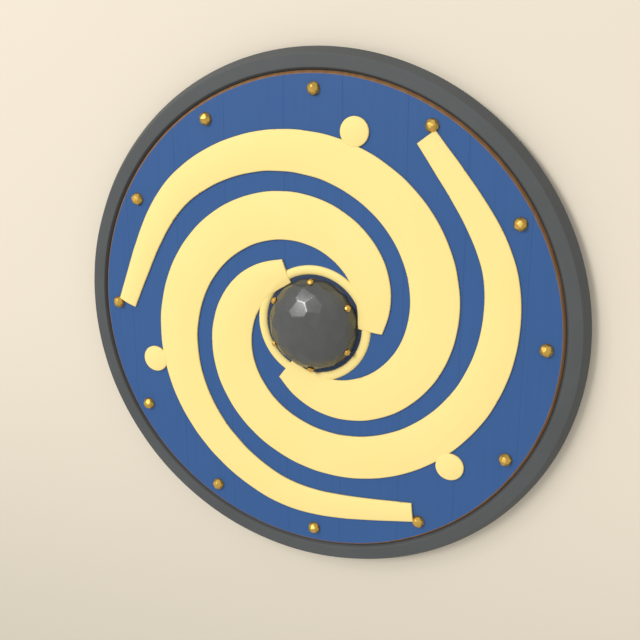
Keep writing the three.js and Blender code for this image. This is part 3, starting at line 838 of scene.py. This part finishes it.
def make_grip(material):
    """The bar across the back: rounded for the hand, tapering to its ends."""
    length, top_z, back_z = GRIP_HIGH.x, GRIP_HIGH.z, GRIP_LOW.z
    stations = np.concatenate([
        [length - d * MM for d in (0, 0.8, 2, 4, 7, 11)],
        [GRIP_STEP + d * MM for d in (2, 0.6, -0.4)],
        np.linspace(GRIP_STEP - 3 * MM, 0, 90)])
    stations = np.concatenate([-stations, stations[::-1][1:]])
    x = np.abs(stations)
    half_width = np.interp(x, *(np.array(GRIP_HALF_WIDTHS) * MM).T)
    end_back = BACK_Z - GLUE - RIM_SHEET - GLUE - GRIP_END_DEPTH
    lows = np.interp(x, [GRIP_HAND_HALF, GRIP_THIN], [back_z, end_back])
    highs = np.where(x > GRIP_STEP, end_back + GRIP_END_DEPTH, top_z)
    turns = np.arange(GRIP_AROUND) * 2 * math.pi / GRIP_AROUND
    c, d = np.cos(turns), np.sin(turns)
    points = []
    for station, half, low, high in zip(stations, half_width, lows, highs):
        hold = 1 - smoothstep(45 * MM, 85 * MM, abs(station))
        power = 0.36 + 0.34 * hold
        y = half * np.sign(c) * np.abs(c) ** power
        z = (low + high) / 2 + (high - low) / 2 * np.sign(d) * np.abs(d) ** power
        points.append(np.column_stack([np.full(GRIP_AROUND, station), y, z]))
    points = np.vstack(points)
    faces = []
    for i in range(len(stations) - 1):
        here, there = i * GRIP_AROUND, (i + 1) * GRIP_AROUND
        for j in range(GRIP_AROUND):
            k = (j + 1) % GRIP_AROUND
            faces.append((here + j, there + j, there + k, here + k))
    last = (len(stations) - 1) * GRIP_AROUND
    faces.append(tuple(range(GRIP_AROUND)))
    faces.append(tuple(range(last + GRIP_AROUND - 1, last - 1, -1)))
    held = 1 - smoothstep(35 * MM, 95 * MM, np.abs(points[:, 0]))
    return make_piece("grip_bar", points, faces, material, ["grip"], {"held": held})


# ---------------------------------------------------------------- stage

def make_floor():
    mesh = bpy.data.meshes.new("floor")
    size = 40.0
    corners = [(-size, -size, 0), (size, -size, 0), (size, size, 0), (-size, size, 0)]
    mesh.from_pydata(corners, [], [(0, 1, 2, 3)])
    floor = bpy.data.objects.new("floor", mesh)
    bpy.context.scene.collection.objects.link(floor)
    s = Surface("pale_floor")
    y = s.add("ShaderNodeSeparateXYZ", s.position(), out=1)
    # painted shade: the floor darkens towards -Y, the bottom of the frame
    s.set(Base_Color=s.mix(s.ramp(y, 0.05, -0.95), FLOOR, FLOOR_PAINTED_SHADE), Roughness=0.9)
    mesh.materials.append(s.material)


def aim(thing, place, target, up):
    """Places a camera or light and points its -Z at the target, with its +Y towards up."""
    forward = (Vector(target) - Vector(place)).normalized()
    right = forward.cross(Vector(up)).normalized()
    above = right.cross(forward)
    turn = Matrix((right, above, -forward)).transposed()
    thing.matrix_world = Matrix.Translation(place) @ turn.to_4x4()


def make_camera():
    camera = bpy.data.objects.new("camera", bpy.data.cameras.new("camera"))
    bpy.context.scene.collection.objects.link(camera)
    camera.data.lens = 50
    camera.data.sensor_width = 36
    middle_z = FACE_Z + 3.65 * MM
    place = (0.5074, 0.4132, middle_z + 1.2589)
    aim(camera, place, (0.0119, 0.0088, middle_z), (0, 1, 0))
    bpy.context.scene.camera = camera


def make_light(name, kind, place, target, energy, colour):
    data = bpy.data.lights.new(name, kind)
    data.energy = energy
    data.color = colour
    light = bpy.data.objects.new(name, data)
    bpy.context.scene.collection.objects.link(light)
    aim(light, place, target, (0, 1, 0.01))
    return data


def make_stage():
    """A floor with painted shade darkening it towards the bottom of the frame, the camera, a soft
    sun, a window beside it and a pale sky.
    """
    make_floor()
    make_camera()
    sun = make_light("sun", "SUN", (-1.1, 1.2, 2.2), (0, 0, 0), 1.1, SUNLIGHT)
    sun.angle = math.radians(16)
    window = make_light("window", "AREA", (-1.6, 2.0, 2.3), (0, 0, 0.03), 26, WINDOW_LIGHT)
    window.shape = "DISK"
    window.size = 1.2
    world = bpy.data.worlds.new("studio")
    world.use_nodes = True
    sky = world.node_tree.nodes["Background"].inputs
    sky["Color"].default_value = SKY
    sky["Strength"].default_value = 0.70
    bpy.context.scene.world = world
    bpy.context.scene.view_settings.view_transform = "Standard"


# ---------------------------------------------------------------- everything

def make_shield():
    yellow = yellow_material()
    brass = brass_material()
    make_board(board_material())
    make_rim(iron_material("blackened_iron", RIM_IRON, 0.62, 0.74, 9.0, 0.3))
    make_boss(iron_material("beaten_iron", BOSS_IRON, 0.20, 0.31, 22.0, 0.62))
    make_ring(yellow)
    for index in range(ARM_COUNT):
        make_arm(index, yellow)
        make_disc(index, yellow)
    make_rim_rivets(brass)
    make_boss_nails(brass)
    make_grip(grip_material())


make_shield()
make_stage()
